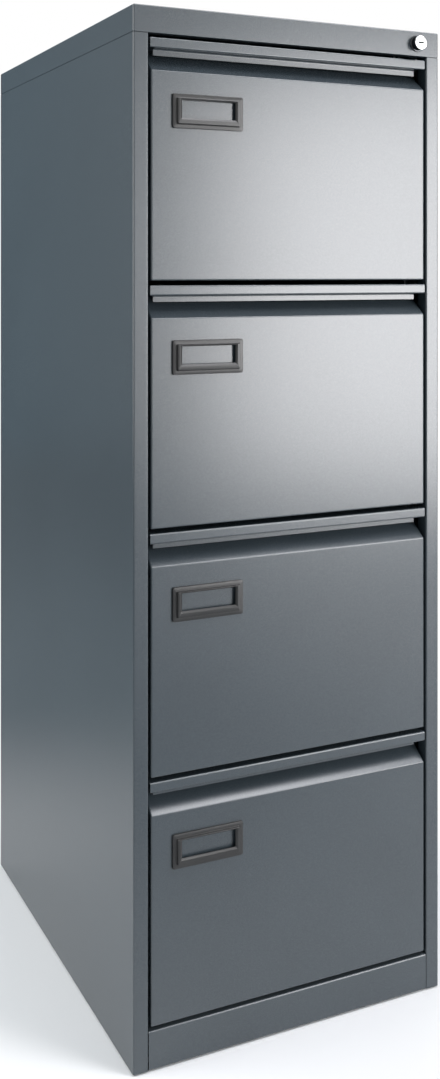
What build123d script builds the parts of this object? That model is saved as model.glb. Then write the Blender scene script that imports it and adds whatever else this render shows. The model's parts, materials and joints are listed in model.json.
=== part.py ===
from build123d import *
from math import radians, tan
import os

# A four-drawer steel filing cabinet, free-standing, with full-width recessed pulls.
# Millimetres, +Z up. The fronts face -Y and +X is to the right of someone facing them.
# The origin is on the floor, under the middle of the whole cabinet, lock included.

# Driving dimensions of the carcass
cabinet_width = 450.0
cabinet_depth = 620.0
cabinet_height = 1320.0
drawer_count = 4
sheet = 1.0
bend_radius = 2.0
foot_lift = 2.0
flange_width = 20.0
flange_return = 20.0
back_flange = 12.0
cap_skirt = 34.0
cap_return = 15.0
cap_edge_radius = 0.8
cap_seam = 0.6
tab_height = 38.0
plinth_height = 50.0
plinth_return = 16.0
plinth_clearance = 0.5
pan_flange = 27.0
corner_plate = 46.0

# Driving dimensions of the drawers
cap_gap = 5.0
drawer_gap = 6.0
plinth_gap = 5.0
rail_side_gap = 2.5
face_side_gap = 3.5
front_box_depth = 38.0
pull_drop = 41.2
pull_strip = 12.7
pull_lip_depth = 13.6
pull_lip_drop = 8.1
pull_end_notch = 9.0
slope_angle = 38.0
pull_leg_gap = 1.0
tray_floor_height = 10.0
tray_top_gap = 27.0
drawer_back_gap = 35.0
hanging_rail_width = 4.6
hanging_rail_leg = 10.0
hanging_rail_cap = 1.5
fit_gap = 0.1

# Driving dimensions of the telescopic runners
runner_thickness = 12.7
runner_height = 45.0
runner_setback = 3.0
runner_wall = 1.2
runner_bend = 1.6
runner_gap = 0.4
runner_lip = 3.6
runner_level = 120.0
ball_gap = 3.2
ball_radius = 1.4
ball_mouth_gap = 1.0
cage_thickness = 1.0
cage_length = 250.0
cage_end = 5.0
balls_per_cage = 5
post_width = 30.0
post_wall = 1.2
post_opening_gap = 1.0
front_post_depth = 56.0
rear_post_inset = 50.0
screw_radius = 2.0
screw_head_radius = 3.2
screw_length = 8.0
screw_clearance = 0.15

# Driving dimensions of the label holder
label_width = 97.0
label_height = 43.0
label_left = 28.0
label_drop = 27.5
label_base = 3.0
label_proud = 6.5
label_border = 5.0
label_window_side = 6.5
label_window_top = 2.5
label_window_height = 22.5
label_bezel = 1.5
label_pocket = 3.5
label_peg_radius = 2.0
label_peg_length = 3.0
label_peg_inset = 2.5

# Driving dimensions of the lock
lock_inset = 35.0
lock_proud = 11.0
lock_travel = 8.0
barrel_radius = 9.5
barrel_shoulder = 22.0
barrel_chamfer = 0.8
tail_radius = 4.0
plug_radius = 6.0
plug_setback = 0.4
plug_clearance = 0.06
key_slot_width = 8.0
key_slot_height = 2.4
key_slot_depth = 16.0
housing_wall = 1.0
housing_clearance = 0.3
collar_radius = 11.5
collar_thickness = 2.0
nut_across_flats = 26.0
nut_thickness = 4.0
spring_wire = 1.0
spring_turns = 4
spring_radius = 7.0
spring_packed = 6.0
circlip_radius = 6.0
circlip_thickness = 1.5

# Driving dimensions of the lock bar and its crank
crank_depth = 60.0
crank_drop = 15.0
crank_shaft_radius = 3.0
crank_boss_radius = 5.0
crank_arm_thickness = 4.0
crank_arm_over = 5.0
crank_arm_reach = 19.0
crank_arm_gap = 0.3
crank_pin_radius = 2.0
crank_clearance = 0.08
bar_travel = 10.0
bar_thickness = 3.0
bar_width = 16.0
bar_post_gap = 3.0
bar_end = 25.0
bar_top_margin = 24.0
bar_slot_height = 4.8
bar_slot_margin = 2.6
lug_height = 8.0
lug_reach = 10.0
lug_width = 7.0
catch_level = 216.0
catch_reach = 9.7
catch_play = 2.0
catch_width = 7.5
guide_level = 150.0
guide_height = 20.0
guide_wall = 3.0
guide_clearance = 0.3

# Driving dimensions of the feet
foot_radius = 15.0
foot_sole = 5.0
foot_stud_radius = 4.0
foot_stud_length = 36.0
foot_nut_radius = 7.0
foot_nut_height = 6.0
foot_inset = 24.0

# Places that several pieces share
front_y = lock_proud - (cabinet_depth + lock_proud) / 2
back_y = front_y + cabinet_depth
half_width = cabinet_width / 2
inner_half = half_width - sheet
opening_half = half_width - flange_width
cap_underside = cabinet_height - cap_skirt
tab_bottom = cap_underside - cap_seam - tab_height / 2
plinth_top = plinth_height
pan_top = plinth_top - sheet
pan_bottom = pan_top - sheet
stack_height = cap_underside - cap_gap - plinth_top - plinth_gap
drawer_height = (stack_height - (drawer_count - 1) * drawer_gap) / drawer_count
drawer_pitch = drawer_height + drawer_gap
drawer_floors = [plinth_top + plinth_gap + k * drawer_pitch for k in reversed(range(drawer_count))]
pull_half = opening_half - rail_side_gap
face_half = opening_half - face_side_gap
post_face = opening_half + post_opening_gap
tray_half = post_face - runner_thickness
tray_front = front_box_depth + sheet
tray_back = cabinet_depth - drawer_back_gap
tray_top = drawer_height - tray_top_gap
runner_front = tray_front + runner_setback
runner_length = tray_back - runner_front
rear_post_depth = tray_back - rear_post_inset
slope_rise = front_box_depth * tan(radians(slope_angle))
lock_x = half_width - lock_inset
lock_z = cabinet_height - cap_skirt / 2
housing_bore = barrel_radius + housing_clearance
housing_radius = housing_bore + housing_wall
housing_length = barrel_shoulder + lock_travel + spring_packed + 2 * housing_wall
tail_end = crank_depth - crank_arm_thickness / 2 - crank_arm_gap
crank_z = lock_z - crank_drop
bar_x = post_face + bar_post_gap
bar_front = crank_depth - crank_arm_reach - bar_width / 2
bar_back = bar_front + bar_width


def depth_y(depth):
    """The Y of a place that lies this far behind the front face."""
    return front_y + depth


def facing_front(depth):
    """A plane parallel to the fronts, this far behind them, looking towards -Y."""
    return Plane.XZ.offset(-depth_y(depth))


def slab(x0, x1, d0, d1, z0, z1, mode=Mode.ADD):
    """A block between two depths, two widths and two heights."""
    middle = ((x0 + x1) / 2, depth_y((d0 + d1) / 2), (z0 + z1) / 2)
    with Locations(middle):
        Box(abs(x1 - x0), abs(d1 - d0), abs(z1 - z0), mode=mode)


def rod(x, z, d0, d1, radius, mode=Mode.ADD):
    """A cylinder that runs from front to back."""
    with Locations(Location((x, depth_y((d0 + d1) / 2), z), (90, 0, 0))):
        Cylinder(radius, abs(d1 - d0), mode=mode)


def cross_rod(x0, x1, depth, z, radius, mode=Mode.ADD):
    """A cylinder that runs from left to right."""
    with Locations(Location(((x0 + x1) / 2, depth_y(depth), z), (0, 90, 0))):
        Cylinder(radius, abs(x1 - x0), mode=mode)


def save(solid, name):
    """Label a finished piece and write it as one STEP file."""
    solid.label = name
    export_step(solid, f"parts/{name}.step")


# The two side panels, folded round a front flange with a return and a narrow back flange
def side_panels():
    with BuildPart() as right:
        with BuildSketch(Plane.XY.offset(foot_lift)):
            with BuildLine():
                outside = FilletPolyline(
                    (opening_half, depth_y(flange_return)),
                    (opening_half, front_y),
                    (half_width, front_y),
                    (half_width, back_y),
                    (half_width - back_flange, back_y),
                    radius=bend_radius,
                )
                offset(outside, amount=sheet, side=Side.LEFT)
            make_face()
        extrude(amount=cap_underside - cap_seam - foot_lift)
        slab(inner_half - sheet, inner_half, flange_return, cabinet_depth - flange_return,
             tab_bottom, tab_bottom + tab_height)
    with BuildPart() as left:
        mirror(right.part, about=Plane.YZ)
    save(right.part, "side_panel_right")
    save(left.part, "side_panel_left")


def back_panel():
    with BuildPart() as panel:
        slab(-inner_half + bend_radius, inner_half - bend_radius, cabinet_depth - 2 * sheet,
             cabinet_depth - sheet, foot_lift + sheet, cap_underside + cap_skirt / 2)
    save(panel.part, "back_panel")


# The top is a shallow pan turned upside down, with a stiffening return under its front skirt
def top_cap():
    with BuildPart() as cap:
        slab(-half_width, half_width, 0, cabinet_depth, cap_underside, cabinet_height)
        fillet(cap.edges().filter_by(Axis.Z), radius=bend_radius)
        fillet(cap.faces().sort_by(Axis.Z)[-1].edges(), radius=bend_radius)
        offset(amount=-sheet, openings=cap.faces().sort_by(Axis.Z)[0])
        return_half = inner_half - 2 * sheet
        slab(-return_half, return_half, sheet / 2, cap_return, cap_underside, cap_underside + sheet)
        lowest = cap.edges().filter_by(Axis.X).group_by(Axis.Z)[0]
        fillet(lowest.sort_by(Axis.Y)[0], radius=cap_edge_radius)
        rod(lock_x, lock_z, -sheet, 2 * sheet, housing_radius + screw_clearance, mode=Mode.SUBTRACT)
    save(cap.part, "top_cap")


def plinth_rail():
    with BuildPart() as rail:
        with BuildSketch(Plane.YZ):
            with BuildLine():
                outside = FilletPolyline(
                    (depth_y(plinth_return), foot_lift),
                    (front_y, foot_lift),
                    (front_y, plinth_top),
                    (depth_y(plinth_return), plinth_top),
                    radius=bend_radius,
                )
                offset(outside, amount=sheet, side=Side.RIGHT)
            make_face()
        extrude(amount=opening_half - plinth_clearance, both=True)
    save(rail.part, "plinth_rail")


# Each corner of the base holds one foot
foot_half = inner_half - foot_inset
foot_places = [
    (side * foot_half, depth_y(depth))
    for side in (-1, 1)
    for depth in (flange_return + foot_inset, cabinet_depth - 2 * sheet - foot_inset)
]
plate_bottom = pan_top - pan_flange


def base_pan():
    with BuildPart() as pan:
        tongue_half = opening_half - plinth_clearance
        slab(-inner_half, inner_half, flange_return + sheet, cabinet_depth - 2 * sheet, pan_bottom, pan_top)
        slab(-tongue_half, tongue_half, 2 * sheet, flange_return + sheet, pan_bottom, pan_top)
        for side in (-1, 1):
            slab(side * inner_half, side * (inner_half - sheet), flange_return + sheet,
                 cabinet_depth - 2 * sheet, plate_bottom, pan_top)
        for x, y in foot_places:
            inward = inner_half - corner_plate if x > 0 else corner_plate - inner_half
            outward = inner_half if x > 0 else -inner_half
            depth = y - front_y
            slab(inward, outward, depth - foot_inset + 2 * sheet, depth + foot_inset - 2 * sheet,
                 plate_bottom, plate_bottom + 2 * sheet)
        with Locations(*[(x, y, plate_bottom + 2 * sheet + foot_nut_height / 2) for x, y in foot_places]):
            Cylinder(foot_nut_radius, foot_nut_height)
        with Locations(*[(x, y, plate_bottom + foot_nut_height) for x, y in foot_places]):
            Cylinder(foot_stud_radius + fit_gap, 3 * foot_nut_height, mode=Mode.SUBTRACT)
    save(pan.part, "base_pan")


def levelling_feet():
    with BuildPart() as feet:
        with BuildSketch(Plane.XY):
            with Locations(*foot_places):
                Circle(foot_radius)
        extrude(amount=foot_sole)
        fillet(feet.faces().group_by(Axis.Z)[-1].edges(), radius=foot_sole / 3)
        with BuildSketch(Plane.XY.offset(foot_sole / 2)):
            with Locations(*foot_places):
                Circle(foot_stud_radius)
        extrude(amount=foot_stud_length)
    save(feet.part, "levelling_feet")


# Upright channels inside each side, front and rear, that carry the runners
def runner_posts():
    with BuildPart() as right:
        for depth in (front_post_depth, rear_post_depth):
            with BuildSketch(Plane.XY.offset(pan_top)):
                with BuildLine():
                    outside = FilletPolyline(
                        (inner_half, depth_y(depth)),
                        (post_face, depth_y(depth)),
                        (post_face, depth_y(depth + post_width)),
                        (inner_half, depth_y(depth + post_width)),
                        radius=bend_radius,
                    )
                    offset(outside, amount=post_wall, side=Side.RIGHT)
                make_face()
            extrude(amount=tab_bottom - fit_gap - pan_top)
            for floor in drawer_floors:
                cross_rod(post_face - sheet, post_face + 2 * post_wall, depth + post_width / 2,
                          floor + runner_level, screw_radius + screw_clearance, mode=Mode.SUBTRACT)
    with BuildPart() as left:
        mirror(right.part, about=Plane.YZ)
    save(right.part, "runner_posts_right")
    save(left.part, "runner_posts_left")


# The runner sections nest from the post inwards: cabinet member, balls, middle member, balls,
# drawer member. Widths are measured out from the tray's side, heights from the runner's centre.
cabinet_half_height = runner_height / 2
middle_half_height = cabinet_half_height - runner_wall - ball_gap
drawer_half_height = middle_half_height - runner_wall - ball_gap
cabinet_mouth = ball_mouth_gap
cabinet_web = runner_thickness
middle_mouth = cabinet_mouth + runner_wall + runner_gap
middle_web = cabinet_web - runner_wall - runner_gap
drawer_edge = middle_web - runner_wall - runner_gap
outer_ball_level = middle_half_height + ball_gap / 2
inner_ball_level = drawer_half_height + ball_gap / 2


def channel_points(mouth, web, half_height, floor):
    """The outside corners of a runner channel with lipped edges, open towards the tray."""
    centre = floor + runner_level
    left = tray_half + mouth
    right = tray_half + web
    lip = half_height - runner_lip
    return [
        (left, centre + lip),
        (left, centre + half_height),
        (right, centre + half_height),
        (right, centre - half_height),
        (left, centre - half_height),
        (left, centre - lip),
    ]


def lipped_channels(name, mouth, web, half_height, floor, screw_depths=()):
    with BuildPart() as right:
        with BuildSketch(facing_front(runner_front)):
            with BuildLine():
                outside = FilletPolyline(*channel_points(mouth, web, half_height, floor), radius=runner_bend)
                offset(outside, amount=runner_wall, side=Side.RIGHT)
            make_face()
        extrude(amount=-runner_length)
        for depth in screw_depths:
            with Locations(Location((tray_half + web, depth_y(depth), floor + runner_level), (0, 90, 0))):
                Cone(screw_head_radius + 2 * fit_gap, screw_radius + 2 * fit_gap, 2 * runner_wall,
                     mode=Mode.SUBTRACT)
    with BuildPart() as pair:
        add(right.part)
        mirror(right.part, about=Plane.YZ)
    save(pair.part, name)


def drawer_members(name, floor):
    centre = floor + runner_level
    with BuildPart() as right:
        with BuildSketch(facing_front(runner_front)):
            with BuildLine():
                outside = FilletPolyline(
                    (tray_half + drawer_edge, centre + drawer_half_height),
                    (tray_half, centre + drawer_half_height),
                    (tray_half, centre - drawer_half_height),
                    (tray_half + drawer_edge, centre - drawer_half_height),
                    radius=runner_bend,
                )
                offset(outside, amount=runner_wall, side=Side.LEFT)
            make_face()
        extrude(amount=-runner_length)
    with BuildPart() as pair:
        add(right.part)
        mirror(right.part, about=Plane.YZ)
    save(pair.part, name)


def ball_cages(name, floor):
    """Outer cages lie in the rear half of the middle member and inner cages in its front half."""
    centre = floor + runner_level
    outer_front = runner_front + runner_length - cage_end - cage_length
    inner_front = runner_front + cage_end
    rows = [
        (middle_mouth + runner_gap, middle_web, outer_ball_level, outer_front),
        (middle_mouth + runner_wall + runner_gap, drawer_edge, inner_ball_level, inner_front),
    ]
    with BuildPart() as right:
        for near, far, level, start in rows:
            for upright in (-1, 1):
                height = centre + upright * level
                slab(tray_half + near, tray_half + far, start, start + cage_length,
                     height - cage_thickness / 2, height + cage_thickness / 2)
                step = cage_length / balls_per_cage
                ball_x = tray_half + (near + far) / 2
                for k in range(balls_per_cage):
                    with Locations((ball_x, depth_y(start + (k + 0.5) * step), height)):
                        Sphere(ball_radius)
    with BuildPart() as pair:
        add(right.part)
        mirror(right.part, about=Plane.YZ)
    save(pair.part, name)


screw_depths = [depth + post_width / 2 for depth in (front_post_depth, rear_post_depth)]


def runner_screws():
    """Countersunk screws that hold the cabinet members to the posts."""
    with BuildPart() as right:
        for floor in drawer_floors:
            for depth in screw_depths:
                height = floor + runner_level
                with Locations(Location((post_face - runner_wall / 2, depth_y(depth), height), (0, 90, 0))):
                    Cone(screw_head_radius, screw_radius, runner_wall)
                cross_rod(post_face - runner_wall / 2, post_face + screw_length, depth, height, screw_radius)
    with BuildPart() as screws:
        add(right.part)
        mirror(right.part, about=Plane.YZ)
    save(screws.part, "runner_screws")


# One drawer: a folded face box, a pull rail above it, a liner behind both, and the tray
slope_top = drawer_height - pull_drop + slope_rise
label_x = -face_half + label_left + label_width / 2
label_z = drawer_height - pull_drop - label_drop - label_height / 2
peg_places = [(label_x + side * (label_width / 2 - label_peg_inset), label_z) for side in (-1, 1)]


def drawer_front(name, floor):
    with BuildPart() as front:
        with BuildSketch(Plane.YZ.offset(-face_half)):
            with BuildLine():
                Polyline(
                    (front_y, floor),
                    (depth_y(front_box_depth), floor),
                    (depth_y(front_box_depth), floor + slope_top),
                    (front_y, floor + drawer_height - pull_drop),
                    close=True,
                )
            make_face()
        extrude(amount=2 * face_half)
        rear = front.faces().sort_by(Axis.Y)[-1]
        fillet([edge for edge in front.edges() if edge not in rear.edges()], radius=bend_radius)
        offset(amount=-sheet, openings=front.faces().sort_by(Axis.Y)[-1])
        for x, z in peg_places:
            rod(x, floor + z, -sheet, 2 * sheet, label_peg_radius + screw_clearance, mode=Mode.SUBTRACT)
    save(front.part, name)


def pull_rail(name, floor):
    top = floor + drawer_height
    lip_z = top - pull_strip
    with BuildPart() as rail:
        with BuildSketch(Plane.YZ):
            with BuildLine():
                outside = FilletPolyline(
                    (depth_y(pull_lip_depth), lip_z - pull_lip_drop),
                    (depth_y(pull_lip_depth), lip_z),
                    (front_y, lip_z),
                    (front_y, top),
                    (depth_y(front_box_depth), top),
                    (depth_y(front_box_depth), floor + slope_top + pull_leg_gap),
                    radius=bend_radius,
                )
                offset(outside, amount=sheet, side=Side.LEFT)
            make_face()
        extrude(amount=pull_half, both=True)
        for side in (-1, 1):
            slab(side * (pull_half - pull_end_notch), side * (pull_half + sheet),
                 bend_radius, pull_lip_depth + sheet,
                 lip_z - pull_lip_drop - sheet, lip_z + bend_radius, mode=Mode.SUBTRACT)
    save(rail.part, name)


def drawer_liner(name, floor):
    with BuildPart() as liner:
        slab(-face_half, face_half, front_box_depth, front_box_depth + sheet, floor, floor + drawer_height)
        fillet(liner.edges().filter_by(Axis.Y), radius=bend_radius)
    save(liner.part, name)


def drawer_tray(name, floor):
    """Two sides, a floor and a back that are spot-welded together, and the catch for the lock bar."""
    bottom = floor + tray_floor_height
    top = floor + tray_top
    inside = tray_half - sheet - fit_gap
    with BuildPart() as tray:
        for side in (-1, 1):
            slab(side * tray_half, side * (tray_half - sheet), tray_front, tray_back, bottom, top)
        slab(-inside, inside, tray_front, tray_back, bottom, bottom + sheet)
        slab(-inside, inside, tray_back - sheet, tray_back, bottom + sheet + fit_gap, top)
        slab(tray_half + fit_gap, tray_half + catch_reach, bar_back, bar_back + catch_width,
             floor + catch_level, floor + catch_level + lug_height)
    save(tray.part, name)


def hanging_rails(name, floor):
    """Clip-on rails along the tray's side edges, for suspension files."""
    edge = floor + tray_top + fit_gap
    wall_out = tray_half + fit_gap
    wall_in = tray_half - sheet - fit_gap
    out_x = wall_out + (hanging_rail_width - sheet) / 2
    in_x = wall_in - (hanging_rail_width - sheet) / 2
    end = tray_back - 2 * sheet
    with BuildPart() as right:
        slab(in_x, out_x, tray_front, end, edge, edge + hanging_rail_cap)
        slab(in_x, wall_in, tray_front, end, edge - hanging_rail_leg, edge)
        slab(wall_out, out_x, tray_front, end, edge - hanging_rail_leg, edge)
    with BuildPart() as pair:
        add(right.part)
        mirror(right.part, about=Plane.YZ)
    save(pair.part, name)


def label_holder(name, floor):
    x0 = label_x - label_width / 2
    x1 = label_x + label_width / 2
    z0 = floor + label_z - label_height / 2
    z1 = floor + label_z + label_height / 2
    window_x = (x0 + label_border + label_window_side, x1 - label_border - label_window_side)
    window_z1 = z1 - label_border - label_window_top
    window_z0 = window_z1 - label_window_height
    with BuildPart() as holder:
        slab(x0, x1, -label_base, 0, z0, z1)
        slab(x0 + label_border, x1 - label_border, -label_proud, 0, z0 + label_border, z1 - label_border)
        chamfer(holder.faces().sort_by(Axis.Y)[0].edges(), length=label_bezel)
        fillet(holder.edges().filter_by(Axis.Y), radius=bend_radius / 2)
        slab(*window_x, -label_proud - sheet, sheet, window_z0, window_z1, mode=Mode.SUBTRACT)
        slab(window_x[0] - label_window_top, window_x[1] + label_window_top, -label_pocket, sheet,
             window_z0 - label_window_top, window_z1, mode=Mode.SUBTRACT)
        for x, z in peg_places:
            rod(x, floor + z, -label_base / 2, label_peg_length, label_peg_radius)
    save(holder.part, name)


# The lock: a spring-loaded push-in barrel that carries the key plug
def lock_barrel():
    with BuildPart() as barrel:
        rod(lock_x, lock_z, -lock_proud, barrel_shoulder, barrel_radius)
        chamfer(barrel.faces().sort_by(Axis.Y)[0].edges(), length=barrel_chamfer)
        rod(lock_x, lock_z, barrel_shoulder, tail_end - tail_radius, tail_radius)
        with Locations((lock_x, depth_y(tail_end - tail_radius), lock_z)):
            Sphere(tail_radius)
        ring_start = housing_length + housing_clearance
        rod(lock_x, lock_z, ring_start, ring_start + circlip_thickness, circlip_radius)
        rod(lock_x, lock_z, -lock_proud - sheet, barrel_shoulder - 2 * sheet, plug_radius + plug_clearance,
            mode=Mode.SUBTRACT)
    save(barrel.part, "lock_barrel")


def key_plug():
    plug_front = plug_setback - lock_proud
    with BuildPart() as plug:
        rod(lock_x, lock_z, plug_front, barrel_shoulder - 2 * sheet - fit_gap, plug_radius)
        slab(lock_x - key_slot_width / 2, lock_x + key_slot_width / 2, plug_front - sheet,
             plug_front + key_slot_depth, lock_z - key_slot_height / 2, lock_z + key_slot_height / 2,
             mode=Mode.SUBTRACT)
    save(plug.part, "key_plug")


def lock_housing():
    with BuildPart() as housing:
        rod(lock_x, lock_z, -collar_thickness, 0, collar_radius)
        fillet(housing.faces().sort_by(Axis.Y)[0].edges(), radius=collar_thickness / 2)
        rod(lock_x, lock_z, -collar_thickness / 2, housing_length, housing_radius)
        rod(lock_x, lock_z, -2 * collar_thickness, housing_length - 2 * housing_wall, housing_bore,
            mode=Mode.SUBTRACT)
        rod(lock_x, lock_z, 0, 2 * housing_length, tail_radius + housing_clearance, mode=Mode.SUBTRACT)
    save(housing.part, "lock_housing")


def lock_nut():
    with BuildPart() as nut:
        with BuildSketch(facing_front(sheet)):
            with Locations((lock_x, lock_z)):
                RegularPolygon(nut_across_flats / 2, 6, major_radius=False)
                Circle(housing_radius + fit_gap, mode=Mode.SUBTRACT)
        extrude(amount=-nut_thickness)
    save(nut.part, "lock_nut")


def lock_spring():
    """An open coil round the barrel's tail, between its shoulder and the housing's end."""
    start = barrel_shoulder + housing_clearance + spring_wire / 2
    length = housing_length - 2 * housing_wall - housing_clearance - spring_wire / 2 - start
    with BuildPart() as spring:
        with BuildLine():
            coil = Helix(pitch=length / spring_turns, height=length, radius=spring_radius,
                         center=(lock_x, depth_y(start), lock_z), direction=(0, 1, 0))
        with BuildSketch(Plane(origin=coil @ 0, z_dir=coil % 0)):
            Circle(spring_wire / 2)
        sweep()
    save(spring.part, "lock_spring")


# The crank turns the barrel's push into a lift of the lock bar
ear_inner = crank_arm_thickness
ear_thickness = 2 * sheet


def crank_bracket():
    top = cabinet_height - sheet
    with BuildPart() as bracket:
        for side in (-1, 1):
            inside = lock_x + side * ear_inner
            slab(inside, inside + side * ear_thickness, crank_depth - 2 * crank_shaft_radius,
                 crank_depth + 2 * crank_shaft_radius, crank_z - 2 * crank_shaft_radius, top)
        reach = ear_inner + ear_thickness
        slab(lock_x - reach, lock_x + reach, crank_depth - 2 * crank_shaft_radius,
             crank_depth + 3 * crank_boss_radius, top - ear_thickness, top)
        cross_rod(lock_x - 2 * reach, lock_x + 2 * reach, crank_depth, crank_z,
                  crank_shaft_radius + crank_clearance, mode=Mode.SUBTRACT)
    save(bracket.part, "crank_bracket")


def lock_crank():
    arm_x = bar_x - sheet
    pin_depth = crank_depth - crank_arm_reach
    half_arm = crank_arm_thickness / 2
    shaft_start = lock_x - ear_inner - ear_thickness - sheet
    with BuildPart() as crank:
        cross_rod(shaft_start, arm_x, crank_depth, crank_z, crank_shaft_radius)
        cross_rod(lock_x - half_arm, lock_x + half_arm, crank_depth, crank_z, crank_boss_radius)
        slab(lock_x - half_arm, lock_x + half_arm, crank_depth - half_arm, crank_depth + half_arm,
             crank_z, lock_z + crank_arm_over)
        slab(arm_x - crank_arm_thickness + sheet, arm_x, pin_depth - half_arm, crank_depth,
             crank_z - half_arm, crank_z + half_arm)
        cross_rod(arm_x - half_arm, bar_x + bar_thickness + sheet, pin_depth, crank_z, crank_pin_radius)
    save(crank.part, "lock_crank")


def lock_bar():
    """A flat bar up the right side, with a slot for the crank's pin and one riveted lug for each drawer."""
    bar_bottom = drawer_floors[-1] + guide_level - bar_end
    with BuildPart() as bar:
        slab(bar_x, bar_x + bar_thickness, bar_front, bar_back, bar_bottom, cabinet_height - bar_top_margin)
        slab(bar_x - sheet, bar_x + bar_thickness + sheet, bar_front + bar_slot_margin,
             bar_back - bar_slot_margin + sheet, crank_z - bar_slot_height / 2,
             crank_z + bar_slot_height / 2, mode=Mode.SUBTRACT)
        for floor in drawer_floors:
            lug_top = floor + catch_level + lug_height - bar_travel
            slab(bar_x - lug_reach, bar_x - fit_gap, bar_back - lug_width - catch_play,
                 bar_back - catch_play, lug_top - lug_height, lug_top)
    save(bar.part, "lock_bar")


def bar_guides():
    """Moulded guides on the right side panel that keep the lock bar upright."""
    near = bar_x - guide_clearance - guide_wall / 2
    with BuildPart() as guides:
        for floor in drawer_floors:
            level = floor + guide_level
            slab(near, inner_half, bar_front - guide_clearance - guide_wall,
                 bar_back + guide_clearance + guide_wall, level, level + guide_height)
            slab(bar_x - guide_clearance, bar_x + bar_thickness + guide_clearance,
                 bar_front - guide_clearance, bar_back + guide_clearance, level - sheet,
                 level + guide_height + sheet, mode=Mode.SUBTRACT)
    save(guides.part, "bar_guides")


os.makedirs("parts", exist_ok=True)
side_panels()
back_panel()
top_cap()
plinth_rail()
base_pan()
levelling_feet()
runner_posts()
runner_screws()
for number, floor in enumerate(drawer_floors, start=1):
    lipped_channels(f"cabinet_runners_{number}", cabinet_mouth, cabinet_web, cabinet_half_height, floor,
                    screw_depths)
    lipped_channels(f"middle_runners_{number}", middle_mouth, middle_web, middle_half_height, floor)
    ball_cages(f"ball_cages_{number}", floor)
    drawer_members(f"drawer_runners_{number}", floor)
    drawer_front(f"drawer_front_{number}", floor)
    pull_rail(f"pull_rail_{number}", floor)
    drawer_liner(f"drawer_liner_{number}", floor)
    drawer_tray(f"drawer_tray_{number}", floor)
    hanging_rails(f"hanging_rails_{number}", floor)
    label_holder(f"label_holder_{number}", floor)
lock_barrel()
key_plug()
lock_housing()
lock_nut()
lock_spring()
crank_bracket()
lock_crank()
lock_bar()
bar_guides()
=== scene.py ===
# Finishes, fine detail, studio and camera for the steel filing cabinet.
# Metres, +Z up, the fronts face -Y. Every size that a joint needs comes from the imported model.
import bpy
import bmesh
import json
import math
from mathutils import Matrix, Vector


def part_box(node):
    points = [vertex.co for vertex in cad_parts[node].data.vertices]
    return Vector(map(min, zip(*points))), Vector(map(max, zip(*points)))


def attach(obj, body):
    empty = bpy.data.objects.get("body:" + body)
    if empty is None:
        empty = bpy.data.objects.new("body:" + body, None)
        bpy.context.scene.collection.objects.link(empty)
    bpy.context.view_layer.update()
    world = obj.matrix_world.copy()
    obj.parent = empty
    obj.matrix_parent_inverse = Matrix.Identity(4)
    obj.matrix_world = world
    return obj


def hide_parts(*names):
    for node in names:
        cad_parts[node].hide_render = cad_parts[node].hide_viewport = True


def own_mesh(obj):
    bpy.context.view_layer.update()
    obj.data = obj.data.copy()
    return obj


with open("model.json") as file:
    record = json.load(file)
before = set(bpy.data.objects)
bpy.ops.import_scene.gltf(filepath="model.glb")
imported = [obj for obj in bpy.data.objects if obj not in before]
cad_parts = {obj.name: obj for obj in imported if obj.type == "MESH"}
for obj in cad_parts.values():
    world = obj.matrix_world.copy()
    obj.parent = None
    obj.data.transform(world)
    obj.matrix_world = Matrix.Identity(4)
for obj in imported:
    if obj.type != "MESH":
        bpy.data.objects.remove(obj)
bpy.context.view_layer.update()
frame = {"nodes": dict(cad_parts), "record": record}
mm = 0.001
drawerNumbers = [1, 2, 3, 4]
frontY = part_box("drawer_front_1")[0].y   # the plane that all the fronts share


# Shader helpers

def startMaterial(name):
    material = bpy.data.materials.new(name)
    material.use_nodes = True
    tree = material.node_tree
    tree.nodes.clear()
    return material, tree


def addNode(tree, kind, values=None, **settings):
    node = tree.nodes.new(kind)
    for key, value in settings.items():
        setattr(node, key, value)
    for key, value in (values or {}).items():
        node.inputs[key].default_value = value
    return node


def link(tree, output, target):
    tree.links.new(output, target)


def objectPosition(tree, stretch=(1, 1, 1)):
    # the place on the object, stretched for drawn or brushed grain
    place = addNode(tree, "ShaderNodeTexCoord")
    mapping = addNode(tree, "ShaderNodeMapping", {"Scale": stretch})
    link(tree, place.outputs["Object"], mapping.inputs["Vector"])
    return mapping.outputs["Vector"]


def noise(tree, position, scale, detail=2.0, roughness=0.5):
    node = addNode(tree, "ShaderNodeTexNoise", {"Scale": scale, "Detail": detail, "Roughness": roughness})
    link(tree, position, node.inputs["Vector"])
    return node.outputs["Fac"]


noiseRange = (0.3, 0.7)     # between which most of a noise lies


def spread(tree, value, low, high):
    node = addNode(tree, "ShaderNodeMapRange", {"From Min": noiseRange[0], "From Max": noiseRange[1],
                                                "To Min": low, "To Max": high})
    link(tree, value, node.inputs["Value"])
    return node.outputs["Result"]


mixFactor, mixFirst, mixSecond, mixResult = 0, 6, 7, 2    # where a colour mix keeps its sockets


def twoTone(tree, value, first, second):
    mix = addNode(tree, "ShaderNodeMix", data_type="RGBA")
    mix.inputs[mixFirst].default_value = (*first, 1)
    mix.inputs[mixSecond].default_value = (*second, 1)
    link(tree, value, mix.inputs[mixFactor])
    return mix.outputs[mixResult]


def distanceFrom(tree, position, centre):
    node = addNode(tree, "ShaderNodeVectorMath", operation="DISTANCE")
    node.inputs[1].default_value = centre
    link(tree, position, node.inputs[0])
    return node.outputs["Value"]


def smoothEdge(tree, value, edge):
    # 0 below the first number, 1 above the second
    node = addNode(tree, "ShaderNodeMapRange", {"From Min": edge[0], "From Max": edge[1]},
                   interpolation_type="SMOOTHSTEP")
    link(tree, value, node.inputs["Value"])
    return node.outputs["Result"]


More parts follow.
